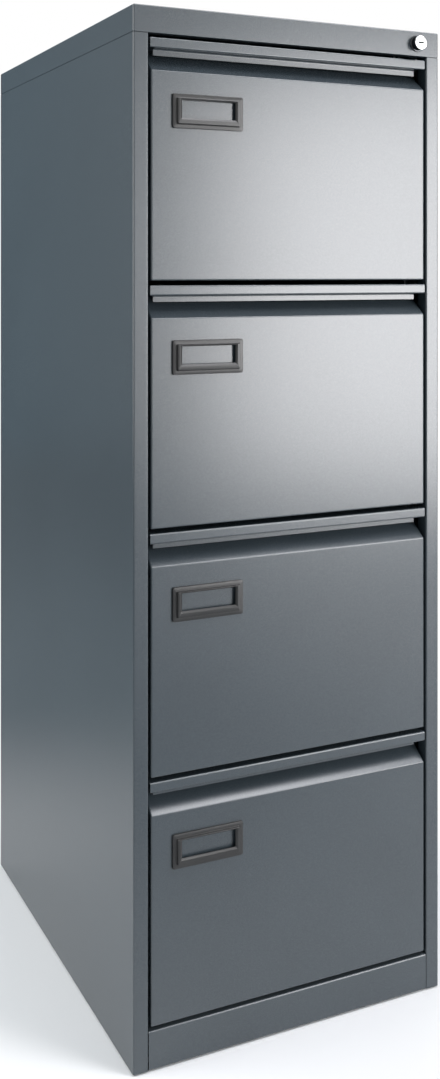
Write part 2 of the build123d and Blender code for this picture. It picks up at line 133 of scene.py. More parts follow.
def bump(tree, height, distance, strength=1.0, under=None):
    node = addNode(tree, "ShaderNodeBump", {"Strength": strength, "Distance": distance})
    link(tree, height, node.inputs["Height"])
    if under:
        link(tree, under, node.inputs["Normal"])
    return node.outputs["Normal"]


def finish(tree, shader):
    output = addNode(tree, "ShaderNodeOutputMaterial")
    link(tree, shader.outputs[0], output.inputs["Surface"])


def shade(colour, factor):
    return tuple(channel * factor for channel in colour)


# The finishes

powderCoat = {
    "colour": (0.036, 0.047, 0.055),
    "tone": 0.05,            # how far the cloudy patches leave the colour
    "cloudScale": 7.0,
    "peelScale": 520.0,      # orange peel, in lumps per metre
    "peelHeight": 0.00003,
    "grainScale": 2600.0,
    "roughness": (0.23, 0.29),
    "ior": 1.65,
    "levelDulling": 0.28,    # level tops are scuffed duller by what is set down on them
    "levelFacing": (0.95, 0.995),
}


def paintMaterial(name, dulling=0.0):
    material, tree = startMaterial(name)
    position = objectPosition(tree)
    cloud = noise(tree, position, powderCoat["cloudScale"], 3)
    grain = noise(tree, position, powderCoat["grainScale"], 1)
    peel = noise(tree, position, powderCoat["peelScale"], 2, 0.4)
    tone = powderCoat["tone"]
    colour = twoTone(tree, spread(tree, cloud, 0, 1), shade(powderCoat["colour"], 1 - tone),
                     shade(powderCoat["colour"], 1 + tone))
    shader = addNode(tree, "ShaderNodeBsdfPrincipled", {"IOR": powderCoat["ior"]})
    link(tree, colour, shader.inputs["Base Color"])
    facing = addNode(tree, "ShaderNodeSeparateXYZ")
    link(tree, addNode(tree, "ShaderNodeNewGeometry").outputs["Normal"], facing.inputs["Vector"])
    scuffed = addNode(tree, "ShaderNodeMath", operation="MULTIPLY_ADD")
    scuffed.inputs[1].default_value = dulling
    link(tree, smoothEdge(tree, facing.outputs["Z"], powderCoat["levelFacing"]), scuffed.inputs[0])
    link(tree, spread(tree, grain, *powderCoat["roughness"]), scuffed.inputs[2])
    link(tree, scuffed.outputs[0], shader.inputs["Roughness"])
    link(tree, bump(tree, peel, powderCoat["peelHeight"]), shader.inputs["Normal"])
    finish(tree, shader)
    return material


def metalMaterial(name, look):
    # plated or bare steel: cloudy brightness, and grain drawn out along the length
    material, tree = startMaterial(name)
    position = objectPosition(tree)
    drawn = objectPosition(tree, look["stretch"])
    cloud = noise(tree, position, look["cloudScale"], 3)
    lines = noise(tree, drawn, look["lineScale"], 2)
    colour = twoTone(tree, spread(tree, cloud, 0, 1), look["dark"], look["light"])
    shader = addNode(tree, "ShaderNodeBsdfPrincipled", {"Metallic": 1.0})
    link(tree, colour, shader.inputs["Base Color"])
    link(tree, spread(tree, lines, *look["roughness"]), shader.inputs["Roughness"])
    link(tree, bump(tree, lines, look["lineHeight"]), shader.inputs["Normal"])
    finish(tree, shader)
    return material


zincPlate = {"dark": (0.47, 0.49, 0.51), "light": (0.64, 0.65, 0.64), "cloudScale": 60.0,
             "stretch": (1, 0.03, 1), "lineScale": 1800.0, "lineHeight": 0.000008, "roughness": (0.22, 0.38)}
bearingSteel = {"dark": (0.58, 0.58, 0.59), "light": (0.72, 0.72, 0.72), "cloudScale": 200.0,
                "stretch": (1, 1, 1), "lineScale": 900.0, "lineHeight": 0.000002, "roughness": (0.10, 0.18)}
springWire = {"dark": (0.26, 0.26, 0.28), "light": (0.40, 0.40, 0.41), "cloudScale": 300.0,
              "stretch": (1, 0.1, 1), "lineScale": 2500.0, "lineHeight": 0.000005, "roughness": (0.25, 0.4)}
chromePlate = {"dark": (0.80, 0.81, 0.82), "light": (0.90, 0.90, 0.90), "cloudScale": 150.0,
               "stretch": (1, 1, 1), "lineScale": 1500.0, "lineHeight": 0.000002, "roughness": (0.07, 0.13)}

# polished in front of the first distance and painted dark behind the second, a painted reflection of dark
# surroundings on the barrel's side and collar; in mm proud of the fronts
lockPaintedShade = {"dark": (0.055, 0.057, 0.060), "polished": 10.3, "fullShadeAt": 9.9}


def lockMaterial(name, look):
    # polished on the face; round the side of the barrel and the collar the colour is painted dark, a painted
    # reflection and shade
    material, tree = startMaterial(name)
    position = objectPosition(tree)
    cloud = noise(tree, position, look["cloudScale"], 3)
    lines = noise(tree, position, look["lineScale"], 2)
    polished = twoTone(tree, spread(tree, cloud, 0, 1), look["dark"], look["light"])
    depth = addNode(tree, "ShaderNodeSeparateXYZ")
    link(tree, position, depth.inputs["Vector"])
    # painted shade: behind the face the colour turns dark, a painted dark reflection on the barrel's side and
    # the collar
    behind = smoothEdge(tree, depth.outputs["Y"], (frontY - lockPaintedShade["polished"] * mm,
                                                   frontY - lockPaintedShade["fullShadeAt"] * mm))
    colour = twoTone(tree, behind, (0, 0, 0), lockPaintedShade["dark"])
    link(tree, polished, colour.node.inputs[mixFirst])
    shader = addNode(tree, "ShaderNodeBsdfPrincipled", {"Metallic": 1.0})
    link(tree, colour, shader.inputs["Base Color"])
    link(tree, spread(tree, lines, *look["roughness"]), shader.inputs["Roughness"])
    link(tree, bump(tree, lines, look["lineHeight"]), shader.inputs["Normal"])
    finish(tree, shader)
    return material


def plasticMaterial(name, look):
    # moulded plastic with a fine spark-eroded grain
    material, tree = startMaterial(name)
    position = objectPosition(tree)
    cloud = noise(tree, position, look["cloudScale"], 2)
    grain = noise(tree, position, look["grainScale"], 2)
    colour = twoTone(tree, spread(tree, cloud, 0, 1), look["dark"], look["light"])
    shader = addNode(tree, "ShaderNodeBsdfPrincipled", {"IOR": 1.5, "Subsurface Weight": look["glow"],
                                                        "Subsurface Scale": 0.001})
    link(tree, colour, shader.inputs["Base Color"])
    link(tree, spread(tree, grain, *look["roughness"]), shader.inputs["Roughness"])
    link(tree, bump(tree, grain, look["grainHeight"]), shader.inputs["Normal"])
    finish(tree, shader)
    return material


labelPlastic = {"dark": (0.012, 0.012, 0.012), "light": (0.017, 0.017, 0.017), "cloudScale": 40.0,
                "grainScale": 3000.0, "grainHeight": 0.00001, "roughness": (0.34, 0.42), "glow": 0.0}
footPlastic = {"dark": (0.017, 0.017, 0.018), "light": (0.025, 0.025, 0.026), "cloudScale": 60.0,
               "grainScale": 1800.0, "grainHeight": 0.00003, "roughness": (0.45, 0.6), "glow": 0.0}
paleNylon = {"dark": (0.64, 0.61, 0.53), "light": (0.73, 0.71, 0.65), "cloudScale": 50.0,
             "grainScale": 1200.0, "grainHeight": 0.00001, "roughness": (0.38, 0.5), "glow": 0.1}

finishes = {
    "carcass_paint": paintMaterial("carcassPaint", powderCoat["levelDulling"]),
    "drawer_paint": paintMaterial("drawerPaint"),
    "zinc_steel": metalMaterial("zincSteel", zincPlate),
    "ball_steel": metalMaterial("ballSteel", bearingSteel),
    "spring_steel": metalMaterial("springSteel", springWire),
    "lock_chrome": lockMaterial("lockChrome", chromePlate),
    "label_plastic": plasticMaterial("labelPlastic", labelPlastic),
    "foot_plastic": plasticMaterial("footPlastic", footPlastic),
    "pale_nylon": plasticMaterial("paleNylon", paleNylon),
}

slotOfNode = {part["node"]: part["material_slot"] for part in frame["record"]["subparts"]}
for node, cadObject in frame["nodes"].items():
    cadObject.data.materials.clear()
    cadObject.data.materials.append(finishes[slotOfNode[node]])
print("finishes on", len(slotOfNode), "nodes")


# Mesh helpers

def meshObject(name, mesh):
    piece = bpy.data.objects.new(name, mesh)
    bpy.context.scene.collection.objects.link(piece)
    return piece


def fromBmesh(name, shape, sharpAbove=35.0):
    # closes doubles, turns the faces outwards and smooths all but the folds
    bmesh.ops.remove_doubles(shape, verts=shape.verts, dist=0.000002)
    bmesh.ops.recalc_face_normals(shape, faces=shape.faces)
    for face in shape.faces:
        face.smooth = True
    mesh = bpy.data.meshes.new(name)
    shape.to_mesh(mesh)
    shape.free()
    mesh.set_sharp_from_angle(angle=math.radians(sharpAbove))
    return meshObject(name, mesh)


def settle(piece, body, slotName, *nodes):
    # gives a finished piece its finish and its body, and hides the nodes that it stands for
    piece.data.materials.clear()
    piece.data.materials.append(finishes[slotName])
    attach(piece, body)
    if nodes:
        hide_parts(*nodes)


def roundedLoop(shape, low, high, radius, place, steps=5):
    # a rectangle with round corners, as a loop of vertices; place turns (u, v) into a point
    loop = []
    corners = [(high[0] - radius, high[1] - radius, 0), (low[0] + radius, high[1] - radius, 90),
               (low[0] + radius, low[1] + radius, 180), (high[0] - radius, low[1] + radius, 270)]
    for u, v, start in corners:
        for step in range(steps + 1):
            angle = math.radians(start + 90 * step / steps)
            loop.append(shape.verts.new(place(u + radius * math.cos(angle), v + radius * math.sin(angle))))
    return loop


def skin(shape, first, second):
    count = len(first)
    for k in range(count):
        following = (k + 1) % count
        shape.faces.new((first[k], first[following], second[following], second[k]))


def roundLoop(shape, centre, radius, along, axis, steps):
    # a circle about a line that runs along x, y or z
    loop = []
    for step in range(steps):
        angle = 2 * math.pi * step / steps
        across = (radius * math.cos(angle), radius * math.sin(angle))
        point = list(centre)
        others = [k for k in range(3) if k != axis]
        point[axis] += along
        point[others[0]] += across[0]
        point[others[1]] += across[1]
        loop.append(shape.verts.new(point))
    return loop


def turned(shape, centre, profile, axis, steps, ring=False):
    # a turned shape from (distance along the axis, radius) pairs, closed at both ends or round as a ring
    loops = [roundLoop(shape, centre, radius, along, axis, steps) for along, radius in profile]
    for first, second in zip(loops, loops[1:]):
        skin(shape, first, second)
    if ring:
        skin(shape, loops[-1], loops[0])
    else:
        shape.faces.new(loops[0])
        shape.faces.new(list(reversed(loops[-1])))


# Geometry Nodes helpers

def startTree(name, sockets):
    tree = bpy.data.node_groups.new(name, "GeometryNodeTree")
    for socket, kind in sockets:
        tree.interface.new_socket(socket, in_out="INPUT", socket_type=f"NodeSocket{kind}")
    tree.interface.new_socket("Geometry", in_out="OUTPUT", socket_type="NodeSocketGeometry")
    return tree, tree.nodes.new("NodeGroupInput")


def endTree(tree, start, shape):
    # makes the instances real and gives them their finish
    real = tree.nodes.new("GeometryNodeRealizeInstances")
    tree.links.new(shape, real.inputs["Geometry"])
    finishNode = tree.nodes.new("GeometryNodeSetMaterial")
    tree.links.new(real.outputs["Geometry"], finishNode.inputs["Geometry"])
    tree.links.new(start.outputs["Material"], finishNode.inputs["Material"])
    end = tree.nodes.new("NodeGroupOutput")
    tree.links.new(finishNode.outputs["Geometry"], end.inputs["Geometry"])


def applyTree(piece, tree, values):
    # runs the tree with these values and keeps what it makes as the piece's own mesh
    modifier = piece.modifiers.new(tree.name, "NODES")
    modifier.node_group = tree
    for item in tree.interface.items_tree:
        if item.in_out == "INPUT" and item.name in values:
            modifier[item.identifier] = values[item.name]
    mesh = bpy.data.meshes.new_from_object(piece.evaluated_get(bpy.context.evaluated_depsgraph_get()))
    piece.modifiers.remove(modifier)
    piece.data = mesh


# One shape repeated along one line and then along another, and mirrored left to right

def repeatTree(name):
    tree, start = startTree(name, (
        ("Geometry", "Geometry"), ("Count", "Int"), ("Step", "Vector"), ("Rows", "Int"),
        ("Row Step", "Vector"), ("Mirrored", "Bool"), ("Material", "Material")))
    shape = start.outputs["Geometry"]
    for count, step in (("Count", "Step"), ("Rows", "Row Step")):
        line = tree.nodes.new("GeometryNodeMeshLine")
        line.mode = "OFFSET"
        tree.links.new(start.outputs[count], line.inputs["Count"])
        tree.links.new(start.outputs[step], line.inputs["Offset"])
        repeat = tree.nodes.new("GeometryNodeInstanceOnPoints")
        tree.links.new(line.outputs["Mesh"], repeat.inputs["Points"])
        tree.links.new(shape, repeat.inputs["Instance"])
        shape = repeat.outputs["Instances"]
    real = tree.nodes.new("GeometryNodeRealizeInstances")
    tree.links.new(shape, real.inputs["Geometry"])
    across = tree.nodes.new("GeometryNodeTransform")
    across.inputs["Scale"].default_value = (-1, 1, 1)
    tree.links.new(real.outputs["Geometry"], across.inputs["Geometry"])
    flip = tree.nodes.new("GeometryNodeFlipFaces")
    tree.links.new(across.outputs["Geometry"], flip.inputs["Mesh"])
    both = tree.nodes.new("GeometryNodeJoinGeometry")
    tree.links.new(flip.outputs["Mesh"], both.inputs["Geometry"])
    tree.links.new(real.outputs["Geometry"], both.inputs["Geometry"])
    choose = tree.nodes.new("GeometryNodeSwitch")
    choose.input_type = "GEOMETRY"
    tree.links.new(start.outputs["Mirrored"], choose.inputs["Switch"])
    tree.links.new(real.outputs["Geometry"], choose.inputs["False"])
    tree.links.new(both.outputs["Geometry"], choose.inputs["True"])
    endTree(tree, start, choose.outputs["Output"])
    return tree


repeated = repeatTree("repeatInRows")


def repeatPiece(template, slotName, count, step, rows=1, rowStep=(0, 0, 0), mirrored=True):
    applyTree(template, repeated, {"Count": count, "Step": step, "Rows": rows, "Row Step": rowStep,
                                   "Mirrored": mirrored, "Material": finishes[slotName]})


# The label holders: a flange, a raised frame and a bevelled window, moulded in one

labelHolder = {
    "flangeRadius": 2.2,
    "flangeProud": 3.0,
    "border": 5.0,             # flange left bare round the raised frame
    "frameRadius": 1.6,
    "frameProud": 6.5,
    "draft": 0.5,              # how far the frame's sides lean in
    "edge": 0.5,               # rounding of the outer edges
    "bezel": (2.4, 1.5, 2.4),  # width of the sloping border: at the sides, on top, below
    "bezelDepth": 1.5,
    "window": (11.5, 7.5, 13.0),   # from the outside to the window: at the sides, on top, below
    "pocketProud": 3.5,
    "pocket": 2.5,
    "bezelRadius": 0.8,
    "windowRadius": 0.5,
    "softening": 0.3,          # share of an edge's rounding at its middle ring
    "frameFoot": 0.6,          # and where the frame rises from the flange
    "steps": 6,
    "sharpAbove": 28.0,
}


def buildLabelHolder(number):
    low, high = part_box(f"label_holder_{number}")
    x0, x1, z0, z1 = low.x, high.x, low.z, high.z
    look = labelHolder
    edge = look["edge"] * mm
    soft = edge * look["softening"]
    border = look["border"] * mm
    draft = look["draft"] * mm
    flange = look["flangeProud"] * mm
    proud = look["frameProud"] * mm
    side, top, below = (value * mm for value in look["window"])
    bezelSide, bezelTop, bezelBelow = (value * mm for value in look["bezel"])
    pocket = look["pocket"] * mm

    def around(inset, radius, height, sides=None):
        left, upper, lower = sides or (inset, inset, inset)
        return ((x0 + left, z0 + lower), (x1 - left, z1 - upper), radius * mm, height)

    window = (side, top, below)
    bezel = (side - bezelSide, top - bezelTop, below - bezelBelow)
    behindWindow = (side - pocket, top, below - pocket)
    rings = [
        around(0, look["flangeRadius"], 0),
        around(0, look["flangeRadius"], flange - edge),
        around(soft, look["flangeRadius"], flange - soft),
        around(edge, look["flangeRadius"], flange),
        around(border - edge, look["frameRadius"] + look["edge"], flange),
        around(border, look["frameRadius"], flange + edge * look["frameFoot"]),
        around(border + draft, look["frameRadius"], proud - edge),
        around(border + draft + soft, look["frameRadius"], proud - soft),
        around(border + draft + edge, look["frameRadius"], proud),
        around(0, look["bezelRadius"], proud, bezel),
        around(0, look["windowRadius"], proud - look["bezelDepth"] * mm, window),
        around(0, look["windowRadius"], look["pocketProud"] * mm, window),
        around(0, look["windowRadius"], look["pocketProud"] * mm, behindWindow),
        around(0, look["windowRadius"], 0, behindWindow),
    ]
    shape = bmesh.new()
    loops = []
    for lowCorner, highCorner, radius, height in rings:
        loops.append(roundedLoop(shape, lowCorner, highCorner, radius,
                                 lambda u, v: (u, frontY - height, v), look["steps"]))
    for first, second in zip(loops, loops[1:]):
        skin(shape, first, second)
    skin(shape, loops[-1], loops[0])
    piece = fromBmesh(f"labelHolder{number}", shape, look["sharpAbove"])
    settle(piece, f"drawer_{number}", "label_plastic", f"label_holder_{number}")


for number in drawerNumbers:
    buildLabelHolder(number)
print("label holders")


# The lock's barrel with its bore and tail, and the housing with its collar, both finely turned

lockTurning = {
    "steps": 64,
    "sharpAbove": 30.0,
    "bore": (6.06, 31.0),          # radius and depth from the face
    "boreRim": 0.3,                # how far behind the face the bore's wall begins
    "barrel": [(0.0, 6.35), (0.12, 6.5), (0.12, 7.6), (0.0, 7.75), (0.0, 8.55), (0.12, 8.95), (0.4, 9.3),
               (0.9, 9.5), (33.0, 9.5), (33.0, 4.0)],
    "circlip": (51.3, 52.8, 6.0),  # from, to, radius
    "tailEnd": 66.7,
    "tailRadius": 4.0,
    "tailAngles": (0, 15, 30, 45, 60, 75, 86),     # round the end of the tail
    "collar": [(0.0, 9.8), (0.0, 10.5), (0.15, 10.95), (0.5, 11.3), (1.0, 11.5), (2.0, 11.5), (2.0, 10.8),
               (40.0, 10.8), (40.0, 4.3), (38.0, 4.3), (38.0, 9.8)],
}


def buildLock():
    low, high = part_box("lock_barrel")
    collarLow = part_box("lock_housing")[0]
    look = lockTurning
    centreX, centreZ = (low.x + high.x) / 2, (low.z + high.z) / 2
    boreRadius, boreDepth = look["bore"]
    tail = look["tailRadius"]
    profile = [(boreDepth, boreRadius), (look["boreRim"], boreRadius)] + look["barrel"]
    clipStart, clipEnd, clipRadius = look["circlip"]
    profile += [(clipStart, tail), (clipStart, clipRadius), (clipEnd, clipRadius), (clipEnd, tail)]
    for degrees in look["tailAngles"]:
        angle = math.radians(degrees)
        profile.append((look["tailEnd"] - tail + tail * math.sin(angle), tail * math.cos(angle)))
    shape = bmesh.new()
    turned(shape, (centreX, low.y, centreZ), [(along * mm, radius * mm) for along, radius in profile], 1,
           look["steps"])
    barrel = fromBmesh("lockBarrel", shape, look["sharpAbove"])
    settle(barrel, "barrel", "lock_chrome", "lock_barrel")
    shape = bmesh.new()
    turned(shape, (centreX, collarLow.y, centreZ),
           [(along * mm, radius * mm) for along, radius in look["collar"]], 1, look["steps"], ring=True)
    housing = fromBmesh("lockHousing", shape, look["sharpAbove"])
    settle(housing, "carcass", "lock_chrome", "lock_housing")


buildLock()
print("lock barrel and housing")


# The spring behind the barrel, which closes up as the barrel is pushed in, built here as a coil at its full
# length

lockSpring = {"wire": 1.0, "turns": 5.5, "rings": 96, "radius": 7.0, "wireSides": 8, "keep": 0.42}


def springTree():
    tree, start = startTree("coilSpring", (
        ("Turns", "Float"), ("Rings", "Int"), ("Coil Radius", "Float"), ("Wire Radius", "Float"),
        ("Wire Sides", "Int"), ("Length", "Float"), ("Place", "Vector"), ("Material", "Material")))
    coil = tree.nodes.new("GeometryNodeCurveSpiral")
    tree.links.new(start.outputs["Rings"], coil.inputs["Resolution"])
    tree.links.new(start.outputs["Turns"], coil.inputs["Rotations"])
    tree.links.new(start.outputs["Coil Radius"], coil.inputs["Start Radius"])
    tree.links.new(start.outputs["Coil Radius"], coil.inputs["End Radius"])
    tree.links.new(start.outputs["Length"], coil.inputs["Height"])
    wire = tree.nodes.new("GeometryNodeCurvePrimitiveCircle")
    tree.links.new(start.outputs["Wire Sides"], wire.inputs["Resolution"])
    tree.links.new(start.outputs["Wire Radius"], wire.inputs["Radius"])
    swept = tree.nodes.new("GeometryNodeCurveToMesh")
    swept.inputs["Fill Caps"].default_value = True
    tree.links.new(coil.outputs["Curve"], swept.inputs["Curve"])
    tree.links.new(wire.outputs["Curve"], swept.inputs["Profile Curve"])
    smooth = tree.nodes.new("GeometryNodeSetShadeSmooth")
    tree.links.new(swept.outputs["Mesh"], smooth.inputs["Geometry"])
    lay = tree.nodes.new("GeometryNodeTransform")      # from up to backwards
    lay.inputs["Rotation"].default_value = (-math.pi / 2, 0, 0)
    tree.links.new(smooth.outputs["Geometry"], lay.inputs["Geometry"])
    tree.links.new(start.outputs["Place"], lay.inputs["Translation"])
    endTree(tree, start, lay.outputs["Geometry"])
    return tree


def buildSpring():
    look = lockSpring
    low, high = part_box("lock_spring")
    wire = look["wire"] * mm / 2
    place = ((low.x + high.x) / 2, low.y + wire, (low.z + high.z) / 2)
    tree = springTree()
    coil = meshObject("lockSpring", bpy.data.meshes.new("lockSpring"))
    applyTree(coil, tree, {"Turns": look["turns"], "Rings": look["rings"], "Coil Radius": look["radius"] * mm,
                           "Wire Radius": wire, "Wire Sides": look["wireSides"],
                           "Length": high.y - low.y - 2 * wire, "Place": place,
                           "Material": finishes["spring_steel"]})
    settle(coil, "carcass", "spring_steel", "lock_spring")
    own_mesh(coil)


buildSpring()
print("lock spring")


# Countersunk screws with a cross recess, through the cabinet members of the runners

runnerScrew = {"headRadius": 3.2, "shankRadius": 2.0, "headDepth": 1.2, "length": 9.2, "recess": 0.8,
               "recessRadius": 1.9, "segments": 16, "perMember": 2,
               "tip": 0.92,      # share of the shank's radius
               "cross": 0.4,     # share of the recess's radius
               "arms": 4, "armDepth": 0.5}


def buildScrews():
    low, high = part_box("runner_screws")
    look = runnerScrew
    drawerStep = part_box("cabinet_runners_2")[0].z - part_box("cabinet_runners_1")[0].z
    headX = high.x - look["length"] * mm
    head = look["headRadius"] * mm
    centre = (headX, low.y + head, high.z - head)
    shape = bmesh.new()
    steps = look["segments"]
    outside = roundLoop(shape, centre, head, 0, 0, steps)
    neck = roundLoop(shape, centre, look["shankRadius"] * mm, look["headDepth"] * mm, 0, steps)
    end = roundLoop(shape, centre, look["shankRadius"] * mm * look["tip"], look["length"] * mm, 0, steps)
    skin(shape, outside, neck)
    skin(shape, neck, end)
    shape.faces.new(list(reversed(end)))
    rim = roundLoop(shape, centre, look["recessRadius"] * mm, 0, 0, steps)
    skin(shape, rim, outside)
    inner = roundLoop(shape, centre, look["recessRadius"] * mm * look["cross"], 0, 0, steps)
    skin(shape, inner, rim)
    bottom = shape.verts.new((centre[0] + look["recess"] * mm, centre[1], centre[2]))
    for k in range(steps):
        shape.faces.new((bottom, inner[k], inner[(k + 1) % steps]))
        if k % (steps // look["arms"]) == 0:
            inner[k].co.x += look["recess"] * mm
            rim[k].co.x += look["recess"] * mm * look["armDepth"]
    template = fromBmesh("runnerScrews", shape)
    step = high.y - low.y - 2 * head
    repeatPiece(template, "zinc_steel", look["perMember"], (0, step, 0), len(drawerNumbers),
                (0, 0, drawerStep))
    settle(template, "carcass", "zinc_steel", "runner_screws")


buildScrews()
print("runner screws")


# The ball cages of the telescopic runners: pressed strips with a ball in each pocket

ballCage = {"ballRadius": 1.4, "ballsPerStrip": 14, "stripThickness": 0.8, "pocketRadius": 1.75,
            "outerLevel": 19.7, "innerLevel": 15.3, "outerWidth": (3.0, 11.1), "innerWidth": (4.2, 9.5),
            "length": 250.0, "ballSegments": 10, "ballRings": 6, "pocketSides": 16,
            "traySide": 9.5}    # from the outside of the drawer members in to the tray


def cageCell(shape, x0, x1, y0, y1, z, look):
    # one pitch of a strip, with a round pocket, and the ball in it
    middle = Vector(((x0 + x1) / 2, (y0 + y1) / 2, z))
    half = look["stripThickness"] * mm / 2
    count = look["pocketSides"]
    rims = []
    for height in (-half, half):
        pocket = roundLoop(shape, middle, look["pocketRadius"] * mm, height, 2, count)
        edge = []
        for k in range(count):
            angle = 2 * math.pi * k / count
            across, along = math.cos(angle), math.sin(angle)
            reach = 1 / max(abs(across) / (x1 - x0) * 2, abs(along) / (y1 - y0) * 2)
            edge.append(shape.verts.new((middle.x + across * reach, middle.y + along * reach, z + height)))
        skin(shape, pocket, edge)
        rims.append((pocket, edge))
    skin(shape, rims[0][0], rims[1][0])
    skin(shape, rims[0][1], rims[1][1])
    bmesh.ops.create_uvsphere(shape, u_segments=look["ballSegments"], v_segments=look["ballRings"],
                              radius=look["ballRadius"] * mm, matrix=Matrix.Translation(middle))


def buildBallCages(number):
    low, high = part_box(f"ball_cages_{number}")
    look = ballCage
    runnerLow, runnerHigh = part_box(f"cabinet_runners_{number}")
    centreZ = (runnerLow.z + runnerHigh.z) / 2
    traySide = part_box(f"drawer_runners_{number}")[1].x - look["traySide"] * mm
    length = look["length"] * mm
    pitch = length / look["ballsPerStrip"]
    shape = bmesh.new()
    for level, (near, far), start in ((look["outerLevel"], look["outerWidth"], high.y - length),
                                      (look["innerLevel"], look["innerWidth"], low.y)):
        for upright in (-1, 1):
            cageCell(shape, traySide + near * mm, traySide + far * mm, start, start + pitch,
                     centreZ + upright * level * mm, look)
    template = fromBmesh(f"ballCages{number}", shape)
    repeatPiece(template, "ball_steel", look["ballsPerStrip"], (0, pitch, 0))
    settle(template, f"middle_{number}", "ball_steel", f"ball_cages_{number}")


for number in drawerNumbers:
    buildBallCages(number)
print("ball cages")


# Pressed ribs in the floor and sides of each drawer's tray, and its spot-weld marks

trayDetail = {
    "floorRibs": 5, "floorRibWidth": 9.0, "floorRibRise": 1.6, "floorRibMargin": (42.0, 30.0),
    "sideRibWidth": 12.0, "sideRibRise": 0.9, "sideRibLevels": (62.0, 172.0), "sideRibMargin": 45.0,
    "weldRadius": 2.6, "weldRise": 0.25, "weldPitch": 52.0, "weldLevel": 8.0,
    "sheet": 1.0,
}
sunk = 0.05 * mm          # how far the foot of a pressed detail reaches into its sheet
pressedSharp = 50.0
roundEnd = 0.999          # share of the half width, just short of a full half circle
ribRings = ((1.0, 0.0), (0.86, 0.35), (0.62, 0.8), (0.3, 0.98))     # shares of half width and rise
weldRings = ((0.92, 0.7), (0.72, 1.0), (0.5, 0.35), (0.1, 0.3))     # shares of radius and rise


def rib(shape, start, end, width, rise, up, across, steps=6):
    # a long round-ended bead that swells out of a sheet by the given rise
    half = width / 2
    length = (end - start).length
    along = (end - start).normalized()
    loops = []
    for share, height in ribRings:
        radius = half * share
        loops.append(roundedLoop(shape, (-radius, -half * share), (length + radius, half * share),
                                 radius * roundEnd,
                                 lambda u, v: start + along * u + across * v + up * rise * height, steps))
    for first, second in zip(loops, loops[1:]):
        skin(shape, first, second)
    shape.faces.new(loops[-1])
    foot = roundedLoop(shape, (-half, -half), (length + half, half), half * roundEnd,
                       lambda u, v: start + along * u + across * v - up * sunk, steps)
    skin(shape, foot, loops[0])
    shape.faces.new(list(reversed(foot)))


def weldMark(shape, centre, axis, sign, radius, rise, steps=12):
    # the shallow ring that a welding tip leaves
    profile = [(-sunk * sign, radius)]
    profile += [(rise * sign * height, radius * share) for share, height in weldRings]
    turned(shape, centre, profile, axis, steps)


def buildTrayDetail(number):
    look = trayDetail
    low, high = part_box(f"drawer_tray_{number}")
    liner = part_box(f"drawer_liner_{number}")
    frontEnd, backEnd = liner[1].y, high.y
    floorTop = low.z + look["sheet"] * mm
    # the inside of the right side, from the left because the catch makes the box wider on the right
    inner = -low.x - look["sheet"] * mm
    sideMargin, endMargin = look["floorRibMargin"]
    ribs = look["floorRibs"]
    step = 2 * (inner - sideMargin * mm) / (ribs - 1)
    start = Vector((-inner + sideMargin * mm, frontEnd + endMargin * mm, floorTop))
    end = Vector((start.x, backEnd - endMargin * mm, floorTop))
    shape = bmesh.new()
    rib(shape, start, end, look["floorRibWidth"] * mm, look["floorRibRise"] * mm, Vector((0, 0, 1)),
        Vector((-1, 0, 0)))
    floorRibs = fromBmesh(f"trayFloorRibs{number}", shape, pressedSharp)
    repeatPiece(floorRibs, "drawer_paint", ribs, (step, 0, 0), mirrored=False)
    settle(floorRibs, f"drawer_{number}", "drawer_paint")

    shape = bmesh.new()
    margin = look["sideRibMargin"] * mm
    for level in look["sideRibLevels"]:
        z = low.z + level * mm
        rib(shape, Vector((inner, frontEnd + margin, z)), Vector((inner, backEnd - margin, z)),
            look["sideRibWidth"] * mm, look["sideRibRise"] * mm, Vector((-1, 0, 0)), Vector((0, 0, 1)))
    sideRibs = fromBmesh(f"traySideRibs{number}", shape, pressedSharp)
    repeatPiece(sideRibs, "drawer_paint", 1, (0, 0, 0))
    settle(sideRibs, f"drawer_{number}", "drawer_paint")

    shape = bmesh.new()
    count = int((backEnd - frontEnd) / (look["weldPitch"] * mm))
    first = (frontEnd + backEnd - (count - 1) * look["weldPitch"] * mm) / 2
    weldMark(shape, (inner, first, low.z + look["weldLevel"] * mm), 0, -1,
             look["weldRadius"] * mm, look["weldRise"] * mm)
    marks = fromBmesh(f"trayWeldMarks{number}", shape, pressedSharp)
    repeatPiece(marks, "drawer_paint", count, (0, look["weldPitch"] * mm, 0))
    settle(marks, f"drawer_{number}", "drawer_paint")


for number in drawerNumbers:
    buildTrayDetail(number)
print("tray ribs and weld marks")


# Two pressed beads up the back panel, and the weld marks along its edges

backDetail = {"beadX": 95.0, "beadWidth": 22.0, "beadRise": 0.8, "beadMargin": 110.0,
              "weldInset": 18.0, "weldPitch": 78.0, "weldRadius": 3.0, "weldRise": 0.3, "beadSteps": 8}


def buildBackDetail():
    look = backDetail
    low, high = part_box("back_panel")
    outward = Vector((0, 1, 0))
    shape = bmesh.new()
    x = look["beadX"] * mm
    margin = look["beadMargin"] * mm
    rib(shape, Vector((x, high.y, low.z + margin)), Vector((x, high.y, high.z - margin)),
        look["beadWidth"] * mm, look["beadRise"] * mm, outward, Vector((1, 0, 0)), look["beadSteps"])
    beads = fromBmesh("backBeads", shape, pressedSharp)
    repeatPiece(beads, "carcass_paint", 1, (0, 0, 0))
    settle(beads, "carcass", "carcass_paint")

    shape = bmesh.new()
    pitch = look["weldPitch"] * mm
    count = int((high.z - low.z) / pitch)
    firstZ = (low.z + high.z - (count - 1) * pitch) / 2
    weldMark(shape, (high.x - look["weldInset"] * mm, high.y, firstZ), 1, 1,
             look["weldRadius"] * mm, look["weldRise"] * mm)
    marks = fromBmesh("backWeldMarks", shape, pressedSharp)
    repeatPiece(marks, "carcass_paint", count, (0, 0, pitch))
    settle(marks, "carcass", "carcass_paint")


buildBackDetail()
print("back panel beads and weld marks")


# The studio

